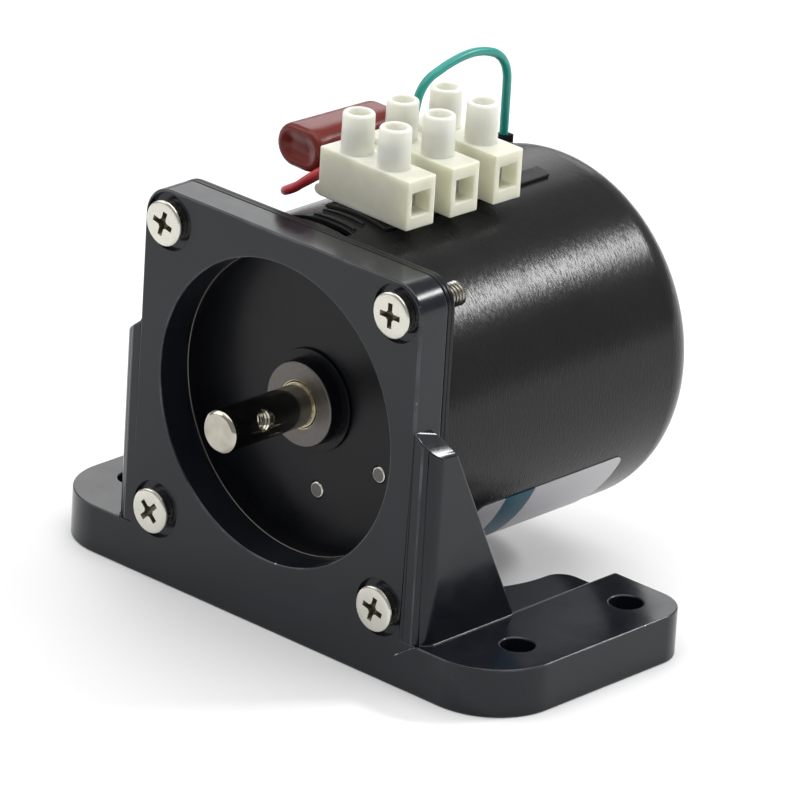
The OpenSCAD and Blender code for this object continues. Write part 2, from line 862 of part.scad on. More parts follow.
module terminal_clamps() {
    len = block_l - 2 * clamp_inset;
    color("#b3974f") at_block() at_poles() difference() {
        translate([-len / 2, -clamp_w / 2, entry_z - clamp_w / 2]) cube([len, clamp_w, clamp_w]);
        translate([-len / 2 - cut, 0, entry_z]) rotate([0, 90, 0])
            cylinder(h = len + 2 * cut, d = clamp_bore_d);
        for (x = tower_x)
            translate([x, 0, entry_z]) cylinder(h = block_h, d = grub_d + 2 * seat);
    }
}

module terminal_screws() {
    tip_z = entry_z + clamp_bore_d / 2 - 0.3;
    color("#bdb9ab") at_block() at_poles() for (x = tower_x)
        translate([x, 0, 0]) difference() {
            union() {
                translate([0, 0, tip_z]) cylinder(h = grub_top - tip_z, d = grub_d);
                translate([0, 0, grub_top - grub_head_h]) cylinder(h = grub_head_h, d = grub_head_d);
            }
            translate([-grub_head_d, -grub_slot / 2, grub_top - 0.8])
                cube([2 * grub_head_d, grub_slot, cut + 1]);
        }
}

// Dipped film capacitor, a flattened round with crowned ends
module obround(w, t) {
    square([w - t, t], center = true);
    for (x = [-1, 1]) translate([x * (w - t) / 2, 0]) circle(d = t, $fn = 32);
}

module capacitor() {
    steps = [[0, cap_edge], [0.3 * cap_edge, 0.3 * cap_edge], [cap_edge, 0]];
    color("#a0564f") at_motor() translate([cap_x, cap_back, cap_z]) rotate([0, 0, -cap_turn])
        hull() for (s = steps)
            slab(s[0] - cap_len / 2, cap_len / 2 - s[0])
                obround(cap_w - 2 * s[1], cap_t - 2 * s[1]);
}

module capacitor_leads() {
    color("#c9c9c6") at_motor() {
        tube(from_entry(near_lead, -1), cap_lead_d);
        tube(from_entry(far_lead, 1), cap_lead_d);
    }
}

module red_lead() {
    route = concat(from_entry(red_start, -1), counted_from(grommet_at, red_end));
    color("#b8323a") at_motor() tube(route, lead_d);
}

module green_lead() {
    route = concat(from_entry(green_start, 1), counted_from(lug_at, green_end));
    color("#3db8ae") at_motor() tube(route, lead_d);
}

// Rubber grommet where the red lead goes into the can, cut to the can's curve
module lead_grommet() {
    color("#1a1a1b") at_motor() difference() {
        translate(grommet_at - [0, 0, grommet_drop])
            cylinder(h = grommet_drop - seat, d = grommet_d);
        disc(grommet_at[1] - grommet_d, grommet_at[1] + grommet_d, can_r + seat / 2, $fn = 720);
    }
}

// Small earth lug on the can's top, where the green lead ends
module earth_tab() {
    color("#2a2a2b") at_motor() difference() {
        translate(lug_at - [lug_w / 2, lug_front, lug_drop]) cube([lug_w, lug_len, lug_drop - seat]);
        can_edge_cutter();
    }
}

module can_edge_cutter() {
    translate([0, can_back, 0]) turned() difference() {
        can_solid(can_r + seat / 2, can_len + seat / 2, can_round);
        translate([-can_r, 0]) square([can_r, can_len + cut]);
    }
}

// Output body: stepped shaft, gear and clip
module output_shaft() {
    gear_end = plane1 + gear_w + seat;
    color("#8d8a84") at_motor() difference() {
        turned() polygon([
            [0, tip_back], [shaft_r - tip_chamfer, tip_back], [shaft_r, tip_back + tip_chamfer],
            [shaft_r, boss_back - journal_proud], [journal_r, boss_back - journal_proud],
            [journal_r, gear_end], [journal_r - clip_groove, gear_end],
            [journal_r - clip_groove, gear_end + clip_t + seat],
            [journal_r, gear_end + clip_t + seat], [journal_r, output_rear], [0, output_rear]
        ]);
        translate([0, tip_back + cross_back, 0]) rotate([0, 90 - cross_tilt, 0])
            cylinder(h = 4 * shaft_r, d = cross_d, center = true);
    }
}

module gear(teeth, phase, y0, y1) {
    slab(y0, y1) polygon(gear_points(teeth, phase));
}

module output_gear() {
    color("#d8d3c4") at_motor() difference() {
        union() {
            gear(output_teeth, output_phase, plane1, plane1 + gear_w);
            disc(floor_rear + seat + washer_t + 0.1, plane1 + cut, journal_r + hub_wall * 2);
        }
        disc(floor_rear, plane1 + gear_w + cut, journal_r + seat / 2);
    }
}

module shaft_clip() {
    clip_back = plane1 + gear_w + seat + seat / 2;
    color("#55565a") at_motor()
        arc_bar(clip_back, clip_back + clip_t, journal_r + clip_w, journal_r - clip_groove + seat,
            clip_angles);
}

// Idler gears: a wheel and a pinion in one piece, with hubs that reach both plates
module idler(wheel_teeth, pinion_teeth, phase, pinion_plane, wheel_plane) {
    front = floor_rear + end_play;
    rear = mid_back - end_play;
    difference() {
        union() {
            gear(wheel_teeth, phase, wheel_plane, wheel_plane + gear_w);
            gear(pinion_teeth, phase, pinion_plane - gear_gap / 4, wheel_plane + cut);
            disc(front, rear, pin_d / 2 + hub_wall);
        }
        disc(front - cut, rear + cut, pin_d / 2 + run_gap);
    }
}

module first_idler_gear() {
    color("#e3ddcb") at_motor() translate([pin1[0], 0, pin1[1]])
        idler(wheel1_teeth, pinion1_teeth, wheel1_phase, plane2, plane3);
}

module second_idler_gear() {
    color("#e3ddcb") at_motor() translate([pin2[0], 0, pin2[1]])
        idler(wheel2_teeth, pinion2_teeth, wheel2_phase, plane1, plane2);
}

// Rotor body: shaft, pinion, hub and ring magnet
module rotor_shaft() {
    color("#b5b6b8") at_motor() disc(rotor_front, rotor_end, rotor_d / 2);
}

module rotor_pinion() {
    color("#c9a94a") at_motor() difference() {
        gear(rotor_teeth, rotor_phase, plane3 - gear_gap / 4, plane3 + gear_w + gear_gap / 4);
        disc(plane3 - cut, plane3 + gear_w + cut, rotor_d / 2 + seat / 2);
    }
}

module rotor_hub() {
    ring_r = magnet_d / 2 - magnet_t - seat;
    middle = (magnet_back + magnet_end) / 2;
    color("#2f3a33") at_motor() difference() {
        union() {
            ring(magnet_back, magnet_end, ring_r, ring_r - hub_ring_t);
            disc(middle - hub_web_t / 2, middle + hub_web_t / 2, ring_r - hub_ring_t + 0.1);
            disc(magnet_back + cut, magnet_end - cut, hub_core_r);
        }
        disc(magnet_back, magnet_end, rotor_d / 2 + seat / 2);
    }
}

module rotor_magnet() {
    color("#3a3b3d") at_motor()
        ring(magnet_back, magnet_end, magnet_d / 2, magnet_d / 2 - magnet_t);
}

bracket();
bracket_screws();
front_flange();
gear_plate();
output_boss();
output_bush();
thrust_washer();
axle_pins();
plate_spacers();
mid_plate();
rotor_front_bush();
rotor_rear_bush();
stator_front();
stator_rear();
coil_bobbin();
coil_winding();
motor_can();
blank_label();
terminal_base();
terminal_block();
terminal_clamps();
terminal_screws();
capacitor();
capacitor_leads();
red_lead();
green_lead();
lead_grommet();
earth_tab();
output_shaft();
output_gear();
shaft_clip();
first_idler_gear();
second_idler_gear();
rotor_shaft();
rotor_pinion();
rotor_hub();
rotor_magnet();
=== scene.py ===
# Geared synchronous motor in a black foot bracket, dressed for a studio picture.
# The dictionaries hold millimetres. "back" is the distance behind the face plate's front,
# "up" is counted from the shaft axis, z from the floor, and x is to the right seen from the front.
import math

import bmesh
import bpy
from mathutils import Matrix, Vector


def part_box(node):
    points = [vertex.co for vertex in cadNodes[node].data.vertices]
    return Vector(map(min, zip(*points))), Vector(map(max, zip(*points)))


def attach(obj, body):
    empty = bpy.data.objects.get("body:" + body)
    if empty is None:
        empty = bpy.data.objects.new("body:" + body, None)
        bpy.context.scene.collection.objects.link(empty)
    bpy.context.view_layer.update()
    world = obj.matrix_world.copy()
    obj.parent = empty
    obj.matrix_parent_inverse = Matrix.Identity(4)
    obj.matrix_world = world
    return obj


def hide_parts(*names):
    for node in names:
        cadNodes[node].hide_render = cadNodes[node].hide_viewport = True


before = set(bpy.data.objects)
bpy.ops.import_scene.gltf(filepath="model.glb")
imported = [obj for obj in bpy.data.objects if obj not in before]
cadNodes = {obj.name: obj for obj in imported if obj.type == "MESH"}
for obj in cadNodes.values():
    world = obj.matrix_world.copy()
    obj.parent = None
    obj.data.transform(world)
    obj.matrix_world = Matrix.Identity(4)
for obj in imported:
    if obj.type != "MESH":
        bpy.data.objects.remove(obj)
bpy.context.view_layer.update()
print("frame loaded, parts:", len(cadNodes))

mm = 0.001
shaftHeight = 37.0     # shaft axis above the floor
plateFront = -26.0     # front of the face plate in the frame
canRadius = 29.6
casing = "motor_body"  # the body that stands still
near = 0.02            # how close a point lies to the place it is looked for at
onPlane = 0.0001       # how close it lies to a plane that cuts through it


def place(x, back, up):
    return Vector((x, back + plateFront, up + shaftHeight)) * mm


# Camera, at the photograph's angle
cameraLook = {
    "azimuth": 42.026,
    "elevation": 22.472,
    "roll": 3.496,
    "distance": 1236.125,
    "aim": (1.323, 2.039, 32.336),
    "lens": 348.07,
    "sensor": 36.0,
    "clip": (50.0, 20000.0),
}


def makeCamera(look):
    turn = math.radians(look["azimuth"])
    lift = math.radians(look["elevation"])
    roll = math.radians(look["roll"])
    towards = Vector((math.sin(turn) * math.cos(lift), -math.cos(turn) * math.cos(lift), math.sin(lift)))
    level = Vector((math.cos(turn), math.sin(turn), 0))
    upright = towards.cross(level)
    across = level * math.cos(roll) + upright * math.sin(roll)
    upward = upright * math.cos(roll) - level * math.sin(roll)
    eye = (Vector(look["aim"]) + towards * look["distance"]) * mm
    data = bpy.data.cameras.new("photoCamera")
    data.lens = look["lens"]
    data.sensor_width = look["sensor"]
    data.clip_start, data.clip_end = [reach * mm for reach in look["clip"]]
    camera = bpy.data.objects.new("photoCamera", data)
    bpy.context.scene.collection.objects.link(camera)
    camera.matrix_world = Matrix((across, upward, towards)).transposed().to_4x4()
    camera.location = eye
    bpy.context.scene.camera = camera


makeCamera(cameraLook)


# Materials
def linearColor(hexText):
    channels = [int(hexText[i:i + 2], 16) / 255 for i in (1, 3, 5)]
    return [c / 12.92 if c <= 0.04045 else ((c + 0.055) / 1.055) ** 2.4 for c in channels] + [1.0]


def perMm(size):
    return 1 / (size * mm)


def addNode(tree, kind, settings=None, links=None):
    node = tree.nodes.new(kind)
    for name, value in (settings or {}).items():
        if isinstance(name, int) or name in node.inputs:
            node.inputs[name].default_value = value
        else:
            setattr(node, name, value)
    for name, source in (links or {}).items():
        tree.links.new(source, node.inputs[name])
    return node


def startMaterial(name):
    material = bpy.data.materials.new(name)
    material.use_nodes = True
    tree = material.node_tree
    tree.nodes.clear()
    coords = addNode(tree, "ShaderNodeTexCoord").outputs["Object"]
    return material, tree, coords


def closeMaterial(tree, shader):
    addNode(tree, "ShaderNodeOutputMaterial", links={"Surface": shader.outputs["BSDF"]})


# One surface: two mottled colours, a roughness that wanders, and a fine relief
def surface(name, look):
    material, tree, coords = startMaterial(name)
    patches = addNode(tree, "ShaderNodeTexNoise",
                      {"Scale": perMm(look["patch"]), "Detail": 4, "Roughness": 0.6}, {"Vector": coords})
    tint = addNode(tree, "ShaderNodeMix",
                   {"data_type": "RGBA", 6: linearColor(look["dark"]), 7: linearColor(look["light"])},
                   {0: patches.outputs["Fac"]})
    dull = addNode(tree, "ShaderNodeMapRange",
                   {"From Min": 0.3, "From Max": 0.7, "To Min": look["rough"][0], "To Max": look["rough"][1]},
                   {"Value": patches.outputs["Fac"]})
    grain = addNode(tree, "ShaderNodeTexNoise",
                    {"Scale": perMm(look["grain"]), "Detail": 3, "Roughness": 0.55}, {"Vector": coords})
    relief = addNode(tree, "ShaderNodeBump", {"Strength": 1.0, "Distance": look["relief"] * mm},
                     {"Height": grain.outputs["Fac"]})
    settings = {"Metallic": look.get("metal", 0.0)}
    settings.update(look.get("shader", {}))
    shader = addNode(tree, "ShaderNodeBsdfPrincipled", settings,
                     {"Base Color": tint.outputs[2], "Roughness": dull.outputs["Result"],
                      "Normal": relief.outputs["Normal"]})
    closeMaterial(tree, shader)
    return material


finishes = {
    # Stoved enamel on a zinc casting: slate black, deep gloss with a fine orange peel
    "stovedEnamel": {"dark": "#111318", "light": "#181b22", "patch": 7, "rough": (0.12, 0.26),
                     "grain": 0.8, "relief": 0.003, "shader": {"Specular IOR Level": 0.31}},
    # Blackened steel sheet, smooth from the rolls
    "blackSheet": {"dark": "#0a0b0e", "light": "#121318", "patch": 7, "rough": (0.26, 0.34),
                   "grain": 0.5, "relief": 0.001, "shader": {"Specular IOR Level": 0.2}},
    # Oxidised steel tongue, dull black
    "oxidisedSteel": {"dark": "#0b0c0d", "light": "#151617", "patch": 2, "rough": (0.5, 0.62),
                      "grain": 0.3, "relief": 0.003, "shader": {"Specular IOR Level": 0.07}},
    # Nickel on steel: warm, bright, with faint pits in the plating
    "nickelPlate": {"dark": "#c2bfb5", "light": "#d6d3ca", "patch": 1.6, "rough": (0.20, 0.30),
                    "grain": 0.35, "relief": 0.003, "metal": 1.0},
    # Plating painted darker and browner as shade in a driver recess, and also used along the thread
    "paintedRecessShade": {"dark": "#4b4438", "light": "#7d7463", "patch": 0.6, "rough": (0.35, 0.5),
                    "grain": 0.2, "relief": 0.004, "metal": 0.8},
    # Bare ground steel: grey, with short grinding scratches
    "groundSteel": {"dark": "#575451", "light": "#716e6b", "patch": 0.9, "rough": (0.36, 0.48),
                    "grain": 0.22, "relief": 0.006, "metal": 1.0},
    # Sintered bronze, oiled
    "sinteredBronze": {"dark": "#bda877", "light": "#e0d2a6", "patch": 0.8, "rough": (0.22, 0.34),
                       "grain": 0.3, "relief": 0.003, "metal": 1.0},
    # Zinc plated sheet steel, bluish
    "zincSheet": {"dark": "#9fa3a8", "light": "#b9bcc0", "patch": 3, "rough": (0.3, 0.42),
                  "grain": 0.6, "relief": 0.002, "metal": 1.0},
    # Glass filled nylon, cream, moulded
    "bobbinNylon": {"dark": "#cfc7ab", "light": "#ded7bf", "patch": 4, "rough": (0.45, 0.55),
                    "grain": 0.3, "relief": 0.003},
    # Vulcanised fibre strip, black and dry
    "blackFibre": {"dark": "#0f0f10", "light": "#191919", "patch": 1.5, "rough": (0.5, 0.65),
                   "grain": 0.2, "relief": 0.006},
    # Turned brass, slightly dull
    "turnedBrass": {"dark": "#a98742", "light": "#c9a866", "patch": 1.5, "rough": (0.25, 0.36),
                    "grain": 0.3, "relief": 0.002, "metal": 1.0},
    # Brass clamp, tinned pale
    "platedBrass": {"dark": "#aaa998", "light": "#c4c3b2", "patch": 1.5, "rough": (0.4, 0.5),
                    "grain": 0.3, "relief": 0.002, "metal": 0.6},
    # Tinned copper wire
    "tinnedCopper": {"dark": "#b3b3b0", "light": "#d0d0cc", "patch": 0.8, "rough": (0.22, 0.32),
                     "grain": 0.3, "relief": 0.003, "metal": 1.0},
    # Soft PVC insulation, red
    "redInsulation": {"dark": "#a5242e", "light": "#c43a42", "patch": 3, "rough": (0.3, 0.4),
                      "grain": 0.35, "relief": 0.003},
    # Soft PVC insulation, sea green
    "greenInsulation": {"dark": "#15857a", "light": "#239d90", "patch": 3, "rough": (0.3, 0.4),
                        "grain": 0.35, "relief": 0.003},
    # Moulded rubber
    "mouldedRubber": {"dark": "#101011", "light": "#1b1b1c", "patch": 1, "rough": (0.6, 0.75),
                      "grain": 0.25, "relief": 0.004},
    # Hobbed gear steel, oiled
    "gearSteel": {"dark": "#8b8780", "light": "#a8a49c", "patch": 2, "rough": (0.28, 0.4),
                  "grain": 0.25, "relief": 0.003, "metal": 1.0},
    # Acetal gears, ivory and slippery
    "gearAcetal": {"dark": "#ddd5c0", "light": "#ece6d6", "patch": 3, "rough": (0.3, 0.4),
                   "grain": 0.4, "relief": 0.002, "shader": {"Subsurface Weight": 0.15,
                                                            "Subsurface Scale": 0.0008}},
    # Moulded rotor hub, dark green
    "hubPlastic": {"dark": "#25302a", "light": "#33413a", "patch": 4, "rough": (0.4, 0.5),
                   "grain": 0.4, "relief": 0.002},
    # Ground ferrite: matt charcoal with a sparkle of grains
    "ferrite": {"dark": "#2c2d2f", "light": "#45464a", "patch": 0.5, "rough": (0.45, 0.6),
                "grain": 0.2, "relief": 0.004, "metal": 0.4},
}
materials = {name: surface(name, look) for name, look in finishes.items()}


# Enamel on a cast edge: lighter in patches, partly real rubbing and partly a painted highlight along the
# edge, and rubbed through to the zinc in small spots
def wornEnamelSheen():
    look = {"paint": "#14171b", "rubbedSheen": "#3b3f45", "zinc": "#b4b7bb", "spot": 1.1, "rub": 6,
            "rubFrom": (0.42, 0.7), "bareFrom": (0.66, 0.70)}
    material, tree, coords = startMaterial("wornEnamelSheen")
    rub = addNode(tree, "ShaderNodeTexNoise", {"Scale": perMm(look["rub"]), "Detail": 3}, {"Vector": coords})
    start, end = look["rubFrom"]
    rubbedSheen = addNode(tree, "ShaderNodeMapRange", {"From Min": start, "From Max": end},
                     {"Value": rub.outputs["Fac"]})
    # painted highlight with some real rubbing: the lighter patches brighten the edge
    base = addNode(tree, "ShaderNodeMix",
                   {"data_type": "RGBA", 6: linearColor(look["paint"]), 7: linearColor(look["rubbedSheen"])},
                   {0: rubbedSheen.outputs["Result"]})
    spots = addNode(tree, "ShaderNodeTexNoise",
                    {"Scale": perMm(look["spot"]), "Detail": 5, "Roughness": 0.75}, {"Vector": coords})
    start, end = look["bareFrom"]
    bare = addNode(tree, "ShaderNodeMapRange", {"From Min": start, "From Max": end},
                   {"Value": spots.outputs["Fac"]})
    tint = addNode(tree, "ShaderNodeMix", {"data_type": "RGBA", 7: linearColor(look["zinc"])},
                   {0: bare.outputs["Result"], 6: base.outputs[2]})
    shader = addNode(tree, "ShaderNodeBsdfPrincipled", {"Roughness": 0.22},
                     {"Base Color": tint.outputs[2], "Metallic": bare.outputs["Result"]})
    closeMaterial(tree, shader)
    return material


materials["wornEnamelSheen"] = wornEnamelSheen()


# Spray enamel on a drawn steel can: satin black, its peel drawn out in short streaks round the can
def canEnamel():
    look = {"dark": "#18181a", "light": "#1f1f20", "patch": 12, "rough": (0.19, 0.26),
            "streakLong": 1.6, "streakWide": 0.34, "relief": 0.041}
    material, tree, coords = startMaterial("canEnamel")
    split = addNode(tree, "ShaderNodeSeparateXYZ", links={"Vector": coords})
    height = addNode(tree, "ShaderNodeMath", {"operation": "SUBTRACT", 1: shaftHeight * mm},
                     {0: split.outputs["Z"]})
    turn = addNode(tree, "ShaderNodeMath", {"operation": "ARCTAN2"},
                   {0: split.outputs["X"], 1: height.outputs["Value"]})
    around = addNode(tree, "ShaderNodeMath", {"operation": "MULTIPLY", 1: canRadius / look["streakLong"]},
                     {0: turn.outputs["Value"]})
    along = addNode(tree, "ShaderNodeMath", {"operation": "MULTIPLY", 1: perMm(look["streakWide"])},
                    {0: split.outputs["Y"]})
    sheet = addNode(tree, "ShaderNodeCombineXYZ", links={"X": around.outputs["Value"],
                                                         "Y": along.outputs["Value"]})
    streaks = addNode(tree, "ShaderNodeTexNoise", {"Scale": 1.0, "Detail": 1, "Roughness": 0.5},
                      {"Vector": sheet.outputs["Vector"]})
    patches = addNode(tree, "ShaderNodeTexNoise", {"Scale": perMm(look["patch"]), "Detail": 4},
                      {"Vector": coords})
    tint = addNode(tree, "ShaderNodeMix",
                   {"data_type": "RGBA", 6: linearColor(look["dark"]), 7: linearColor(look["light"])},
                   {0: patches.outputs["Fac"]})
    dull = addNode(tree, "ShaderNodeMapRange", {"To Min": look["rough"][0], "To Max": look["rough"][1]},
                   {"Value": patches.outputs["Fac"]})
    relief = addNode(tree, "ShaderNodeBump", {"Strength": 1.0, "Distance": look["relief"] * mm},
                     {"Height": streaks.outputs["Fac"]})
    shader = addNode(tree, "ShaderNodeBsdfPrincipled", {"Specular IOR Level": 0.19},
                     {"Base Color": tint.outputs[2], "Roughness": dull.outputs["Result"],
                      "Normal": relief.outputs["Normal"]})
    closeMaterial(tree, shader)
    return material


materials["canEnamel"] = canEnamel()


# Natural nylon: milky, lit through, with cloudy flow marks from the mould, and painted light that makes its
# towers, bores and corners paler
def naturalNylon():
    look = {"milk": "#dcdccc", "shade": "#cccab6", "paintedGlow": "#fbfbf2", "thin": "#d8d9d0", "cloud": 3.2,
            "depth": 2.6, "hollow": 2.5, "flow": 0.7, "relief": 0.006,
            "towers": (0.5, 0.85)}  # where they start and are thin, as shares of the block's height
    material, tree, coords = startMaterial("naturalNylon")
    clouds = addNode(tree, "ShaderNodeTexNoise",
                     {"Scale": perMm(look["cloud"]), "Detail": 4, "Distortion": 0.6}, {"Vector": coords})
    tint = addNode(tree, "ShaderNodeMix",
                   {"data_type": "RGBA", 6: linearColor(look["shade"]), 7: linearColor(look["milk"])},
                   {0: clouds.outputs["Fac"]})
    # painted light: the towers' thin walls are painted whiter than the thick body below them, standing for
    # the light that shines through them
    bottom, top = [corner.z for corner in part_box("terminal_block")]
    start, end = [bottom + (top - bottom) * share for share in look["towers"]]
    split = addNode(tree, "ShaderNodeSeparateXYZ", links={"Vector": coords})
    towerGlowRamp = addNode(tree, "ShaderNodeMapRange", {"From Min": start, "From Max": end},
                       {"Value": split.outputs["Z"]})
    paintedTowerGlow = addNode(tree, "ShaderNodeMix", {"data_type": "RGBA", 7: linearColor(look["thin"])},
                    {0: towerGlowRamp.outputs["Result"], 6: tint.outputs[2]})
    # painted light: bores and corners, where occlusion is found, are painted pale, standing for the light
    # that comes through the thin walls
    openness = addNode(tree, "ShaderNodeAmbientOcclusion", {"samples": 8, "Distance": look["hollow"] * mm})
    paintedBoreGlow = addNode(tree, "ShaderNodeMix", {"data_type": "RGBA", 6: linearColor(look["paintedGlow"])},
                      {0: openness.outputs["AO"], 7: paintedTowerGlow.outputs[2]})
    flow = addNode(tree, "ShaderNodeTexNoise", {"Scale": perMm(look["flow"]), "Detail": 2},
                   {"Vector": coords})
    relief = addNode(tree, "ShaderNodeBump", {"Strength": 0.6, "Distance": look["relief"] * mm},
                     {"Height": flow.outputs["Fac"]})
    shader = addNode(tree, "ShaderNodeBsdfPrincipled",
                     {"Roughness": 0.42, "IOR": 1.5, "Subsurface Weight": 1.0,
                      "Subsurface Radius": (1.0, 0.97, 0.82), "Subsurface Scale": look["depth"] * mm},
                     {"Base Color": paintedBoreGlow.outputs[2], "Normal": relief.outputs["Normal"]})
    closeMaterial(tree, shader)
    return material


materials["naturalNylon"] = naturalNylon()


# Dipped epoxy: brick red, poured thick, with slow waves in its gloss
def dippedEpoxy():
    look = {"thick": "#5c1c18", "thin": "#742822", "wave": 4.5, "speck": 0.5, "relief": 0.05}
    material, tree, coords = startMaterial("dippedEpoxy")
    waves = addNode(tree, "ShaderNodeTexNoise", {"Scale": perMm(look["wave"]), "Detail": 1},
                    {"Vector": coords})
    specks = addNode(tree, "ShaderNodeTexNoise", {"Scale": perMm(look["speck"]), "Detail": 3},
                     {"Vector": coords})
    tint = addNode(tree, "ShaderNodeMix",
                   {"data_type": "RGBA", 6: linearColor(look["thick"]), 7: linearColor(look["thin"])},
                   {0: specks.outputs["Fac"]})
    relief = addNode(tree, "ShaderNodeBump", {"Strength": 1.0, "Distance": look["relief"] * mm},
                     {"Height": waves.outputs["Fac"]})
    shader = addNode(tree, "ShaderNodeBsdfPrincipled",
                     {"Roughness": 0.26, "IOR": 1.5, "Specular IOR Level": 0.26},
                     {"Base Color": tint.outputs[2], "Normal": relief.outputs["Normal"]})
    closeMaterial(tree, shader)
    return material


materials["dippedEpoxy"] = dippedEpoxy()


# Silver label film with one printed teal band across it
def labelFilm():
    look = {"silver": "#bdbcc0", "teal": "#0e5266", "band": (26.0, 33.0), "edge": 0.12, "fleck": 0.4,
            "rough": (0.34, 0.48)}
    material, tree, coords = startMaterial("labelFilm")
    split = addNode(tree, "ShaderNodeSeparateXYZ", links={"Vector": coords})
    start, end = [(back + plateFront) * mm for back in look["band"]]
    soft = look["edge"] * mm
    rising = addNode(tree, "ShaderNodeMapRange", {"From Min": start - soft, "From Max": start + soft},
                     {"Value": split.outputs["Y"]})
    falling = addNode(tree, "ShaderNodeMapRange",
                      {"From Min": end - soft, "From Max": end + soft, "To Min": 1.0, "To Max": 0.0},
                      {"Value": split.outputs["Y"]})
    band = addNode(tree, "ShaderNodeMath", {"operation": "MULTIPLY"},
                   {0: rising.outputs["Result"], 1: falling.outputs["Result"]})
    tint = addNode(tree, "ShaderNodeMix",
                   {"data_type": "RGBA", 6: linearColor(look["silver"]), 7: linearColor(look["teal"])},
                   {0: band.outputs["Value"]})
    flecks = addNode(tree, "ShaderNodeTexNoise", {"Scale": perMm(look["fleck"]), "Detail": 2},
                     {"Vector": coords})
    dull = addNode(tree, "ShaderNodeMapRange", {"To Min": look["rough"][0], "To Max": look["rough"][1]},
                   {"Value": flecks.outputs["Fac"]})
    shader = addNode(tree, "ShaderNodeBsdfPrincipled", {"Metallic": 0.35, "Specular IOR Level": 0.2},
                     {"Base Color": tint.outputs[2], "Roughness": dull.outputs["Result"]})
    closeMaterial(tree, shader)
    return material


materials["labelFilm"] = labelFilm()


# Ground and plated shaft: fine turning rings along its length
def turnedShaft():
    look = {"dark": "#8f8a80", "light": "#c9c4b8", "ring": 0.16, "patch": 2.5, "relief": 0.0016}
    material, tree, coords = startMaterial("turnedShaft")
    # drawn out across the shaft, so the noise makes rings
    along = addNode(tree, "ShaderNodeMapping", {"Scale": (0.02, 1, 0.02)}, {"Vector": coords})
    rings = addNode(tree, "ShaderNodeTexNoise", {"Scale": perMm(look["ring"]), "Detail": 2},
                    {"Vector": along.outputs["Vector"]})
    patches = addNode(tree, "ShaderNodeTexNoise", {"Scale": perMm(look["patch"]), "Detail": 4},
                      {"Vector": coords})
    tint = addNode(tree, "ShaderNodeMix",
                   {"data_type": "RGBA", 6: linearColor(look["dark"]), 7: linearColor(look["light"])},
                   {0: patches.outputs["Fac"]})
    relief = addNode(tree, "ShaderNodeBump", {"Strength": 1.0, "Distance": look["relief"] * mm},
                     {"Height": rings.outputs["Fac"]})
    shader = addNode(tree, "ShaderNodeBsdfPrincipled", {"Metallic": 1.0, "Roughness": 0.13},
                     {"Base Color": tint.outputs[2], "Normal": relief.outputs["Normal"]})
    closeMaterial(tree, shader)
    return material


materials["turnedShaft"] = turnedShaft()


# Enamelled copper wire, wound in even turns, with painted shade in the grooves between them
def woundCopper():
    # the wire is coarser than the real 0.12 mm, so that it shows
    look = {"copper": "#9a4a22", "grooveShade": "#4d2210", "wire": 0.5, "relief": 0.12}
    material, tree, coords = startMaterial("woundCopper")
    split = addNode(tree, "ShaderNodeSeparateXYZ", links={"Vector": coords})
    turns = addNode(tree, "ShaderNodeMath", {"operation": "MULTIPLY", 1: 2 * math.pi * perMm(look["wire"])},
                    {0: split.outputs["Y"]})
    wave = addNode(tree, "ShaderNodeMath", {"operation": "SINE"}, {0: turns.outputs["Value"]})
    height = addNode(tree, "ShaderNodeMapRange", {"From Min": -1.0}, {"Value": wave.outputs["Value"]})
    # painted shade: the grooves between the turns are darker
    tint = addNode(tree, "ShaderNodeMix",
                   {"data_type": "RGBA", 6: linearColor(look["grooveShade"]), 7: linearColor(look["copper"])},
                   {0: height.outputs["Result"]})
    relief = addNode(tree, "ShaderNodeBump", {"Strength": 1.0, "Distance": look["relief"] * mm},
                     {"Height": height.outputs["Result"]})
    shader = addNode(tree, "ShaderNodeBsdfPrincipled", {"Metallic": 0.8, "Roughness": 0.3},
                     {"Base Color": tint.outputs[2], "Normal": relief.outputs["Normal"]})
    closeMaterial(tree, shader)
    return material


materials["woundCopper"] = woundCopper()
print("materials made:", len(materials))

# Finish of each part of the frame that stays as it is, by material
dressed = {
    "oxidisedSteel": ["earth_tab"],
    "groundSteel": ["plate_spacers", "shaft_clip"],
    "sinteredBronze": ["output_bush", "thrust_washer", "rotor_front_bush", "rotor_rear_bush"],
    "zincSheet": ["mid_plate", "stator_front", "stator_rear"],
    "bobbinNylon": ["coil_bobbin"],
    "woundCopper": ["coil_winding"],
    "turnedBrass": ["rotor_pinion"],
    "platedBrass": ["terminal_clamps"],
    "nickelPlate": ["terminal_screws"],
    "mouldedRubber": ["lead_grommet"],
    "gearSteel": ["output_gear"],
    "gearAcetal": ["first_idler_gear", "second_idler_gear"],
    "turnedShaft": ["rotor_shaft"],
    "hubPlastic": ["rotor_hub"],
    "ferrite": ["rotor_magnet"],
}
for finish, names in dressed.items():
    for name in names:
        for materialSlot in cadNodes[name].material_slots:
            materialSlot.material = materials[finish]
print("parts dressed")


# Pieces that take the place of a part of the frame
def mergedCopy(nodeName, least=0.002, flat=0.5):
    form = bmesh.new()
    form.from_mesh(cadNodes[nodeName].data)
    bmesh.ops.remove_doubles(form, verts=form.verts, dist=least * mm)
    bmesh.ops.dissolve_limit(form, angle_limit=math.radians(flat), use_dissolve_boundaries=False,
                             verts=form.verts, edges=form.edges, delimit=set())
    for face in form.faces:
        face.material_index = 0
    return form


def sharpEdges(form, wanted=lambda edge: True, least=30):
    return [edge for edge in form.edges
            if edge.is_manifold and edge.calc_face_angle(0) > math.radians(least) and wanted(edge)]


def roundOff(form, edges, width, finish=-1, steps=3):
    bmesh.ops.bevel(form, geom=edges, offset=width * mm, offset_type="OFFSET", segments=steps,
                    profile=0.5, affect="EDGES", clamp_overlap=False, material=finish)


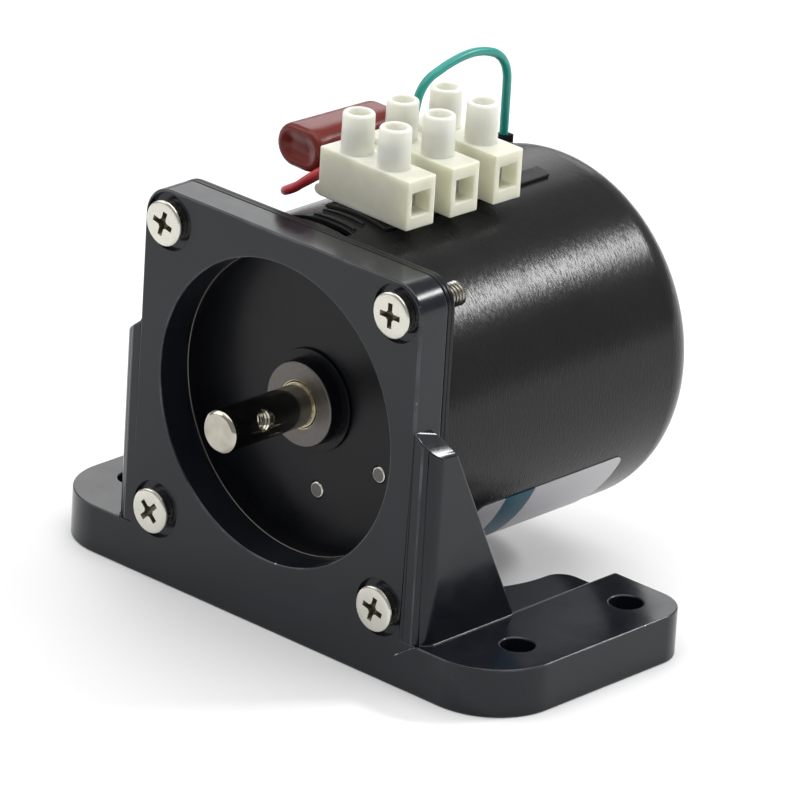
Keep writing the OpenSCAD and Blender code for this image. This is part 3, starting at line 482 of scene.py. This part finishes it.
def finishPiece(name, form, finishes, node, body=casing, creaseAngle=32):
    mesh = bpy.data.meshes.new(name)
    form.normal_update()
    form.to_mesh(mesh)
    form.free()
    mesh.shade_smooth()
    mesh.set_sharp_from_angle(angle=math.radians(creaseAngle))
    for finish in finishes:
        mesh.materials.append(materials[finish])
    piece = bpy.data.objects.new(name, mesh)
    bpy.context.scene.collection.objects.link(piece)
    piece.modifiers.new("evenNormals", "WEIGHTED_NORMAL").keep_sharp = True
    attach(piece, body)
    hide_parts(node)


# A closed skin over rings of the same number of points
def loft(form, rings, finish=0):
    loops = []
    for ring in rings:
        points = [form.verts.new(point) for point in ring]
        loops.append([form.edges.new((points[i - 1], points[i])) for i in range(len(points))])
    faces = []
    for end in (loops[0], loops[-1]):
        faces += bmesh.ops.contextual_create(form, geom=end)["faces"]
    for lower, upper in zip(loops, loops[1:]):
        faces += bmesh.ops.bridge_loops(form, edges=lower + upper)["faces"]
    for face in faces:
        face.material_index = finish


# A closed turned form; the profile is (radius, back), from the axis to the axis
def turnedForm(form, profile, x, up, steps=64):
    points = [form.verts.new(place(x + radius, back, up)) for radius, back in profile]
    edges = [form.edges.new(pair) for pair in zip(points, points[1:])]
    bmesh.ops.spin(form, geom=points + edges, cent=place(x, 0, up), axis=(0, 1, 0), dvec=(0, 0, 0),
                   angle=2 * math.pi, steps=steps, use_merge=True, use_duplicate=False)
    bmesh.ops.remove_doubles(form, verts=form.verts, dist=0.0005 * mm)


# A screw thread: a closed three-sided rib, wound round an axis
def threadRib(form, thread, centre, axis, outward, perTurn=28, share=0.84):
    axis, outward = Vector(axis), Vector(outward)
    half = thread["pitch"] * share / 2
    corners = [centre + (outward * thread["root"] - axis * half) * mm,
               centre + outward * thread["crest"] * mm,
               centre + (outward * thread["root"] + axis * half) * mm]
    points = [form.verts.new(corner) for corner in corners]
    edges = [form.edges.new((points[i], points[(i + 1) % 3])) for i in range(3)]
    steps = round(thread["turns"] * perTurn)
    made = bmesh.ops.spin(form, geom=points + edges, cent=centre, axis=axis,
                          dvec=axis * thread["pitch"] / perTurn * mm,
                          angle=2 * math.pi * thread["turns"], steps=steps,
                          use_merge=False, use_duplicate=False)
    form.faces.new(points)
    form.faces.new([v for v in made["geom_last"] if isinstance(v, bmesh.types.BMVert)])


def cutWith(form, cutter, finishes):
    meshes = []
    for each in (form, cutter):
        bmesh.ops.recalc_face_normals(each, faces=each.faces)
        mesh = bpy.data.meshes.new("cutting")
        each.to_mesh(mesh)
        each.free()
        for finish in finishes:
            mesh.materials.append(materials[finish])
        meshes.append(mesh)
    kept, blade = [bpy.data.objects.new("cutting", mesh) for mesh in meshes]
    for thing in (kept, blade):
        bpy.context.scene.collection.objects.link(thing)
    cut = kept.modifiers.new("cut", "BOOLEAN")
    cut.object = blade
    cut.solver = "EXACT"
    cut.operation = "DIFFERENCE"
    graph = bpy.context.evaluated_depsgraph_get()
    result = bmesh.new()
    result.from_mesh(kept.evaluated_get(graph).data)
    for thing in (kept, blade):
        bpy.data.objects.remove(thing)
    for mesh in meshes:
        bpy.data.meshes.remove(mesh)
    return result


def allVertices(edge, test):
    return all(test(*[value / mm for value in vertex.co]) for vertex in edge.verts)


# A vertex's distance from the middle, back and height above the floor, in millimetres
def spot(vertex):
    return abs(vertex.co.x) / mm, vertex.co.y / mm - plateFront, vertex.co.z / mm


# Bracket casting: a fuller rim on the plate's front, a soft seam at each gusset, and eased edges
def makeBracket():
    look = {"merge": 0.12, "rim": 0.42, "seam": 0.06, "seatRim": 0.05, "edge": 0.28, "rimFrom": 43.7,
            "side": 30.0, "cadSetBack": 0.3, "setBack": 0.14, "window": 26.0, "screwAt": 24.75,
            "seat": 4.75, "seatWall": 0.25, "seatDeep": 1.0, "footTop": 8.2, "webTop": 5.0,
            "pocket": (34.05, 2.0), "jointFrom": 32.75}
    top = {"up": 43.3, "slope": 0.76, "from": 30.0, "roundFrom": 32.3, "to": 34.2, "round": 0.45,
           "low": 39.8, "rear": 3.5, "rearDrop": 0.2, "rearAt": (4.3, 42.8), "rearSlope": 0.4913}
    slack = 0.06
    form = mergedCopy("bracket", look["merge"])
    for vertex in form.verts:
        if abs(spot(vertex)[1] - look["cadSetBack"]) < near:
            vertex.co.y = (plateFront + look["setBack"]) * mm
    # each gusset's top slopes outward to a small round
    for vertex in form.verts:
        x, back, z = spot(vertex)
        if x > top["from"] - near and top["low"] < z < top["up"]:
            turned = max(0, x - top["roundFrom"]) / (top["to"] - top["roundFrom"])
            drop = top["slope"] * (x - top["from"]) + top["round"] * (1 - math.sqrt(max(0, 1 - turned ** 2)))
            if back > top["rear"]:
                drop += top["rearDrop"]
                rear, rearUp = top["rearAt"]
                vertex.co.y = (plateFront + rear + (rearUp - top["up"] + drop) * top["rearSlope"]) * mm
            vertex.co.z = (top["up"] - drop) * mm
    # each foot runs up to its gusset's round
    reach, depth = look["pocket"]
    for vertex in form.verts:
        x, back, z = spot(vertex)
        if look["side"] - slack < x < reach and back < depth and look["webTop"] - slack < z < look["footTop"]:
            vertex.co.z = look["footTop"] * mm
    bmesh.ops.remove_doubles(form, verts=form.verts, dist=near * mm)
    bmesh.ops.bisect_plane(form, geom=form.verts[:] + form.edges[:] + form.faces[:], dist=onPlane * mm,
                           plane_co=(0, 0, look["rimFrom"] * mm), plane_no=(0, 0, 1))

    def offSeat(x, z):
        return math.hypot(abs(x) - look["screwAt"], abs(z - shaftHeight) - look["screwAt"])

    def onSeat(x, y, z):
        return y < plateFront + look["seatDeep"] and abs(offSeat(x, z) - look["seat"]) < slack

    def inSeat(x, y, z):
        return y < plateFront + look["seatDeep"] and offSeat(x, z) < look["seat"] + look["seatWall"]

    def onRim(x, y, z):
        outside = math.hypot(x, z - shaftHeight) > look["window"]
        return y < plateFront + slack and z > look["rimFrom"] - slack and outside

    def onSeam(x, y, z):
        beside = abs(abs(x) - look["side"]) < slack and z < look["rimFrom"] + slack
        return beside and y < plateFront + look["setBack"] + slack

    def onJoint(x, y, z):
        onFoot = abs(z - look["footTop"]) < slack and abs(x) > look["jointFrom"]
        return abs(z - look["webTop"]) < slack or onFoot

    def onLedge(x, y, z):
        beside = look["side"] - slack < abs(x) < look["jointFrom"] + 2 * slack
        return beside and abs(z - look["footTop"]) < slack and y < plateFront + look["setBack"] + slack

    # the rim and the eased edges below take the worn enamel: a painted edge highlight with real worn spots
    roundOff(form, sharpEdges(form, lambda e: allVertices(e, onRim) and not allVertices(e, onSeat)),
             look["rim"], finish=1, steps=4)
    roundOff(form, sharpEdges(form, lambda e: allVertices(e, onSeam)), look["seam"])
    roundOff(form, sharpEdges(form, lambda e: allVertices(e, onSeat)), look["seatRim"], steps=1)
    roundOff(form, sharpEdges(form, lambda e: e.is_convex and not allVertices(e, inSeat)
                              and not allVertices(e, onSeam) and not allVertices(e, onLedge)),
             look["edge"], finish=1)
    roundOff(form, sharpEdges(form, lambda e: not e.is_convex and allVertices(e, onJoint)), look["edge"])
    finishPiece("bracketCasting", form, ["stovedEnamel", "wornEnamelSheen"], "bracket")


makeBracket()
print("bracket made")


# Four low-headed screws with cross recesses and the thread that shows behind the flange
def makeScrews():
    look = {"at": 24.75, "turns": {(-1, -1): 45, (-1, 1): 15, (1, -1): 15, (1, 1): 0},
            "face": -1.5,
            "head": [(0, -1.5), (2.2, -1.49), (3.3, -1.45), (3.55, -1.38), (3.7, -1.25), (3.76, -1.05),
                     (3.7, -0.85), (3.3, -0.72), (3.3, 0.7), (2.15, 0.7), (2.0, 0.9), (2.0, 7.0),
                     (1.62, 7.1), (1.62, 14.0), (1.35, 14.3), (0, 14.3)],
            "armLong": (2.3, 1.5), "armWide": (0.52, 0.3), "fillet": 0.34, "above": 0.3, "deep": 0.9}
    thread = {"pitch": 0.7, "root": 1.55, "crest": 2.02, "turns": 9.3, "from": 7.4, "darkFrom": 7.05}
    form, cutter = bmesh.new(), bmesh.new()
    for (sideX, sideUp), turn in look["turns"].items():
        x, up = sideX * look["at"], sideUp * look["at"]
        turnedForm(form, look["head"], x, up)
        rings = []
        for level, depth in enumerate((look["face"] - look["above"], look["face"] + look["deep"])):
            reach, half, fillet = look["armLong"][level], look["armWide"][level], look["fillet"]
            quarter = [(reach, -half), (reach, half), (half + fillet, half), (half, half + fillet)]
            ring = []
            for k in range(4):
                angle = math.radians(90 * k - turn)
                for across, high in quarter:
                    ring.append(place(x + across * math.cos(angle) - high * math.sin(angle), depth,
                                      up + across * math.sin(angle) + high * math.cos(angle)))
            rings.append(ring)
        # the recess walls take the darker plating: painted shade
        loft(cutter, rings, finish=1)
    form = cutWith(form, cutter, ["nickelPlate", "paintedRecessShade"])
    # the plating along the thread takes the same darker brown, but not on the end
    darkFrom = (plateFront + thread["darkFrom"]) * mm
    for face in form.faces:
        if face.calc_center_median().y > darkFrom and abs(face.normal.y) < 0.5:
            face.material_index = 1
    for sideX, sideUp in look["turns"]:
        start = place(sideX * look["at"], thread["from"], sideUp * look["at"])
        threadRib(form, thread, start, (0, 1, 0), (1, 0, 0))
    bmesh.ops.recalc_face_normals(form, faces=form.faces)
    finishPiece("panScrews", form, ["nickelPlate", "paintedRecessShade"], "bracket_screws")


makeScrews()
print("screws made")


# Output shaft with eased edges and the thread in its cross hole
def makeShaft():
    look = {"edge": 0.1, "holeBack": -5.05, "tilt": 20}
    thread = {"pitch": 0.7, "root": 1.87, "crest": 1.62, "turns": 7.6}
    form = mergedCopy("output_shaft")
    roundOff(form, sharpEdges(form), look["edge"], steps=2)
    tilt = math.radians(look["tilt"])
    axis = Vector((math.cos(tilt), 0, math.sin(tilt)))
    start = place(0, look["holeBack"], 0) - axis * thread["pitch"] * thread["turns"] / 2 * mm
    threadRib(form, thread, start, axis, (0, 1, 0))
    finishPiece("steppedShaft", form, ["turnedShaft"], "output_shaft", "output")


makeShaft()


# Bearing boss: bare ground face, blackened side
def makeBoss():
    look = {"face": 5.7, "rim": 0.3, "bore": 4.6, "lip": 0.24, "edge": 0.1}
    form = mergedCopy("output_boss")
    front = (look["face"] + plateFront + near) * mm
    for face in form.faces:
        face.material_index = 0 if face.calc_center_median().y < front else 1

    def atFace(edge, outer):
        return all(v.co.y < front
                   and (math.hypot(v.co.x, v.co.z - shaftHeight * mm) > look["bore"] * mm) == outer
                   for v in edge.verts)

    roundOff(form, sharpEdges(form, lambda edge: atFace(edge, True)), look["rim"], finish=0)
    roundOff(form, sharpEdges(form, lambda edge: atFace(edge, False)), look["lip"], finish=2, steps=2)
    roundOff(form, sharpEdges(form, lambda edge: min(v.co.y for v in edge.verts) > front), look["edge"],
             steps=2)
    finishPiece("bearingBoss", form, ["groundSteel", "blackSheet", "sinteredBronze"],
                "output_boss")


makeBoss()


# Riveted axle ends, with a rubbed rim
def makePins():
    look = {"rim": 0.28, "front": 3.0}
    form = mergedCopy("axle_pins")
    front = min(vertex.co.y for vertex in form.verts) + look["front"] * mm
    ends = sharpEdges(form, lambda edge: max(vertex.co.y for vertex in edge.verts) < front)
    roundOff(form, ends, look["rim"], finish=1)
    finishPiece("axlePins", form, ["groundSteel", "nickelPlate"], "axle_pins")


makePins()


# The two thin sheets behind the plate, with full corners and eased edges
def makeSheet(name, node, hole=None):
    look = {"corner": 3.0, "fuller": 5.0, "side": 30.0, "edge": 0.1, "cadHole": 25.3, "rub": 0.08}
    form = mergedCopy(node)
    inner = look["side"] - look["corner"]
    centre = look["side"] - look["fuller"]
    for vertex in form.verts:
        x, y, up = vertex.co.x / mm, vertex.co.y, vertex.co.z / mm - shaftHeight
        if min(abs(x), abs(up)) > inner - onPlane:
            turn = math.atan2(abs(up) - inner, abs(x) - inner)
            vertex.co = (math.copysign(centre + look["fuller"] * math.cos(turn), x) * mm, y,
                         (shaftHeight + math.copysign(centre + look["fuller"] * math.sin(turn), up)) * mm)
    if hole:
        front = min(vertex.co.y for vertex in form.verts) + near * mm

        def onHole(x, y, up):
            return abs(math.hypot(x, up - shaftHeight) - hole) < near

        for vertex in form.verts:
            x, up = vertex.co.x / mm, vertex.co.z / mm - shaftHeight
            radius = math.hypot(x, up)
            if abs(radius - look["cadHole"]) < near:
                vertex.co.x *= hole / radius
                vertex.co.z = (shaftHeight + up * hole / radius) * mm
        roundOff(form, sharpEdges(form, lambda edge: allVertices(edge, onHole)
                                  and edge.verts[0].co.y < front), look["rub"], finish=1, steps=2)
    roundOff(form, sharpEdges(form, lambda edge: edge.is_convex), look["edge"], steps=2)
    finishPiece(name, form, ["blackSheet", "groundSteel"], node)


makeSheet("flangeSheet", "front_flange", hole=24.95)  # its punched edge is bare
makeSheet("gearPlateSheet", "gear_plate")
print("sheets made")


# Drawn can with softened slot and ribs
def makeCan():
    look = {"edge": 0.13}
    form = mergedCopy("motor_can")
    roundOff(form, sharpEdges(form), look["edge"], steps=2)
    finishPiece("drawnCan", form, ["canEnamel"], "motor_can")


makeCan()


# Blank label: a thin sheet with rounded corners, wrapped on the can
def makeLabel():
    look = {"radius": canRadius + 0.05, "thick": 0.12, "angles": (115.4, 244.6), "backs": (19.5, 54.05),
            "corner": 1.8, "step": 2.5}
    start, end = look["angles"]
    arcLength = math.radians(end - start) * look["radius"]
    form = bmesh.new()
    flat = [(0, look["backs"][0]), (arcLength, look["backs"][0]), (arcLength, look["backs"][1]),
            (0, look["backs"][1])]
    form.faces.new([form.verts.new((arc, back, 0)) for arc, back in flat])
    bmesh.ops.bevel(form, geom=form.verts[:], offset=look["corner"], offset_type="OFFSET", segments=6,
                    profile=0.5, affect="VERTICES", clamp_overlap=False, material=-1)
    arc = look["step"]
    while arc < arcLength:
        bmesh.ops.bisect_plane(form, geom=form.verts[:] + form.edges[:] + form.faces[:], dist=onPlane,
                               plane_co=(arc, 0, 0), plane_no=(1, 0, 0))
        arc += look["step"]
    top = bmesh.ops.extrude_face_region(form, geom=form.faces[:])["geom"]
    for vertex in top:
        if isinstance(vertex, bmesh.types.BMVert):
            vertex.co.z = look["thick"]
    for vertex in form.verts:
        angle = math.radians(start) + vertex.co.x / look["radius"]
        radius = look["radius"] + vertex.co.z
        vertex.co = place(radius * math.sin(angle), vertex.co.y, radius * math.cos(angle))
    bmesh.ops.recalc_face_normals(form, faces=form.faces)
    finishPiece("labelSheet", form, ["labelFilm"], "blank_label")


makeLabel()
print("can and label made")


# Fibre strip under the terminals
def makeStrip():
    look = {"edge": 0.15}
    form = mergedCopy("terminal_base")
    roundOff(form, sharpEdges(form), look["edge"], steps=2)
    finishPiece("terminalStrip", form, ["blackFibre"], "terminal_base")


makeStrip()


# Terminal block with softly moulded edges
def makeBlock():
    look = {"edge": 0.22, "inner": 0.1}
    form = mergedCopy("terminal_block")
    roundOff(form, sharpEdges(form, lambda edge: edge.is_convex), look["edge"])
    roundOff(form, sharpEdges(form, lambda edge: not edge.is_convex), look["inner"], steps=2)
    finishPiece("terminalHousing", form, ["naturalNylon"], "terminal_block")


makeBlock()
print("terminal block made")


# Dipped capacitor: flattened round with full edges and a dimple in each end
def makeCapacitor():
    look = {"at": (-13.7, 26.9, 36.2), "wide": 10.2, "thick": 7.2, "long": 18.8, "turn": 3,
            "arc": 14, "side": 4,
            "ends": [(3.2, 0.75), (2.6, 0.62), (1.9, 0.3), (1.3, 0.06), (0.8, 0.0), (0.4, 0.14),
                     (0.13, 0.45), (0.0, 1.0), (0.0, 3.0)]}
    turn = math.radians(look["turn"])
    x, back, up = look["at"]

    def ring(inset, along):
        radius = look["thick"] / 2 - inset
        straight = (look["wide"] - look["thick"]) / 2
        outline = []
        for side in (1, -1):
            for k in range(look["arc"] + 1):
                angle = math.pi * k / look["arc"] - math.pi / 2
                outline.append((side * (straight + radius * math.cos(angle)),
                                side * radius * math.sin(angle)))
            for k in range(1, look["side"]):
                outline.append((side * straight * (1 - 2 * k / look["side"]), side * radius))
        return [place(x + across * math.cos(turn) + along * math.sin(turn),
                      back - across * math.sin(turn) + along * math.cos(turn), up + high)
                for across, high in outline]

    half = look["long"] / 2
    rings = [ring(inset, depth - half) for inset, depth in look["ends"]]
    rings += [ring(inset, half - depth) for inset, depth in reversed(look["ends"])]
    form = bmesh.new()
    loft(form, rings)
    bmesh.ops.recalc_face_normals(form, faces=form.faces)
    finishPiece("dippedCapacitor", form, ["dippedEpoxy"], "capacitor", creaseAngle=60)


makeCapacitor()


# Wires: smooth curves through the points of their routes
def makeWire(name, routes, diameter, finish, node):
    curve = bpy.data.curves.new(name, "CURVE")
    curve.dimensions = "3D"
    curve.bevel_depth = diameter / 2 * mm
    curve.bevel_resolution = 5
    curve.resolution_u = 8
    curve.use_fill_caps = True
    for route in routes:
        spline = curve.splines.new("BEZIER")
        spline.bezier_points.add(len(route) - 1)
        for knot, point in zip(spline.bezier_points, route):
            knot.co = point
            knot.handle_left_type = "AUTO"
            knot.handle_right_type = "AUTO"
    curve.materials.append(materials[finish])
    wire = bpy.data.objects.new(name, curve)
    bpy.context.scene.collection.objects.link(wire)
    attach(wire, casing)
    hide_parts(node)
    return wire


def makeLeads():
    look = {
        "insulation": 1.5,
        "bare": 0.8,
        "entry": (-8.1, 34.35),     # mouth of the wire entries: x and up
        "poleBacks": (19.3, 38.7),  # the two poles that the capacitor is wired to
        "red": [(-5.3, 18.9, 34.3), (-7.6, 18.9, 34.3), (-8.9, 18.4, 34.0), (-9.9, 16.9, 33.0),
                (-11.2, 16.2, 31.8), (-12.6, 15.8, 30.5), (-14.1, 15.7, 29.6), (-15.3, 16.3, 29.0),
                (-16.1, 17.7, 28.6), (-16.7, 19.7, 28.3), (-17.0, 22.0, 28.3), (-16.7, 24.4, 28.9),
                (-15.8, 26.5, 29.9), (-14.5, 28.1, 30.5), (-13.2, 28.9, 30.0), (-12.6, 29.0, 28.8),
                (-12.6, 29.0, 27.6)],
        "green": [(-5.5, 39.7, 34.4), (-7.8, 39.7, 34.4), (-9.3, 39.8, 35.3), (-10.0, 39.9, 37.2),
                  (-10, 40.2, 39.4), (-10, 41.0, 41.6), (-10, 42.6, 43.2), (-10, 45.4, 44.3),
                  (-10, 48.5, 45.1), (-10, 51.6, 45.5), (-10, 54.3, 45.4), (-10, 56.9, 44.8),
                  (-10, 59.1, 43.8), (-10, 60.7, 42.2), (-10, 61.5, 40.3), (-10, 61.7, 38.0),
                  (-10, 61.7, 35.5), (-10, 61.7, 33.0), (-10, 61.7, 31.2), (-10, 61.7, 29.6)],
        "nearLead": [(-2.4, 1, -1.65), (-2.2, 1, -2.35), (-1.3, 1, -2.25), (-0.3, 1.05, -1.15),
                     (0.7, 1.05, -0.25), (2.1, 1, -0.05), (3.5, 0.6, -0.05)],
        "farLead": [(-2.4, -4.3, -1.75), (-2.3, -3.9, -2.35), (-1.5, -2.9, -2.45), (-0.7, -1.8, -1.75),
                    (0.1, -1.1, -0.75), (1.5, -0.9, -0.05), (3.5, -0.4, -0.05)],
    }
    for color in ("red", "green"):
        route = [place(*point) for point in look[color]]
        lead = makeWire(color + "Wire", [route], look["insulation"], color + "Insulation",
                        color + "_lead")
    entryX, entryUp = look["entry"]
    bareRoutes = [[place(entryX + x, poleBack + back, entryUp + up) for x, back, up in look[name]]
                  for name, poleBack in zip(("nearLead", "farLead"), look["poleBacks"])]
    makeWire("capacitorWires", bareRoutes, look["bare"], "tinnedCopper", "capacitor_leads")


makeLeads()
print("capacitor and wires made")


# Floor and soft studio light
studio = {
    "floor": "#f2f2f2",
    "speckle": 30,
    "rough": (0.75, 0.85),
    "floorSize": 24.0,     # metres, as are the sizes of the boxes
    "world": 0.42,
    "overhead": 1.9,
    "overheadSpread": 70,  # degrees
    "centre": (0, 0, 35),
    "boxes": [
        # name, azimuth, elevation, distance, width, height, watts
        ("backBox", 150, 37, 1.1, 0.26, 0.14, 5.2),
        ("leftBox", -60, 35, 1.4, 0.9, 0.9, 5),
        ("rearLeftBox", -138, 26, 1.8, 1.1, 0.8, 5),
    ],
}


def makeFloor(look):
    material, tree, coords = startMaterial("paleFloor")
    speckle = addNode(tree, "ShaderNodeTexNoise", {"Scale": perMm(look["speckle"])}, {"Vector": coords})
    dull = addNode(tree, "ShaderNodeMapRange", {"To Min": look["rough"][0], "To Max": look["rough"][1]},
                   {"Value": speckle.outputs["Fac"]})
    shader = addNode(tree, "ShaderNodeBsdfPrincipled",
                     {"Base Color": linearColor(look["floor"]), "Specular IOR Level": 0.1},
                     {"Roughness": dull.outputs["Result"]})
    closeMaterial(tree, shader)
    form = bmesh.new()
    bmesh.ops.create_grid(form, x_segments=1, y_segments=1, size=look["floorSize"] / 2)
    mesh = bpy.data.meshes.new("floor")
    form.to_mesh(mesh)
    form.free()
    floor = bpy.data.objects.new("floor", mesh)
    bpy.context.scene.collection.objects.link(floor)
    mesh.materials.append(material)


def makeLights(look):
    world = bpy.data.worlds.new("softRoom")
    world.use_nodes = True
    background = world.node_tree.nodes["Background"]
    background.inputs["Color"].default_value = (1, 1, 1, 1)
    background.inputs["Strength"].default_value = look["world"]
    bpy.context.scene.world = world
    sky = bpy.data.lights.new("overhead", "SUN")
    sky.energy = look["overhead"]
    sky.angle = math.radians(look["overheadSpread"])
    bpy.context.scene.collection.objects.link(bpy.data.objects.new("overhead", sky))
    centre = Vector(look["centre"]) * mm
    for name, azimuth, elevation, distance, width, height, watts in look["boxes"]:
        turn, lift = math.radians(azimuth), math.radians(elevation)
        outward = Vector((math.sin(turn) * math.cos(lift), -math.cos(turn) * math.cos(lift), math.sin(lift)))
        light = bpy.data.lights.new(name, "AREA")
        light.shape = "RECTANGLE"
        light.size, light.size_y = width, height
        light.energy = watts
        lamp = bpy.data.objects.new(name, light)
        bpy.context.scene.collection.objects.link(lamp)
        lamp.location = centre + outward * distance
        lamp.rotation_mode = "QUATERNION"
        lamp.rotation_quaternion = outward.to_track_quat("Z", "Y")


makeFloor(studio)
makeLights(studio)
bpy.context.scene.view_settings.view_transform = "Standard"
print("studio set")
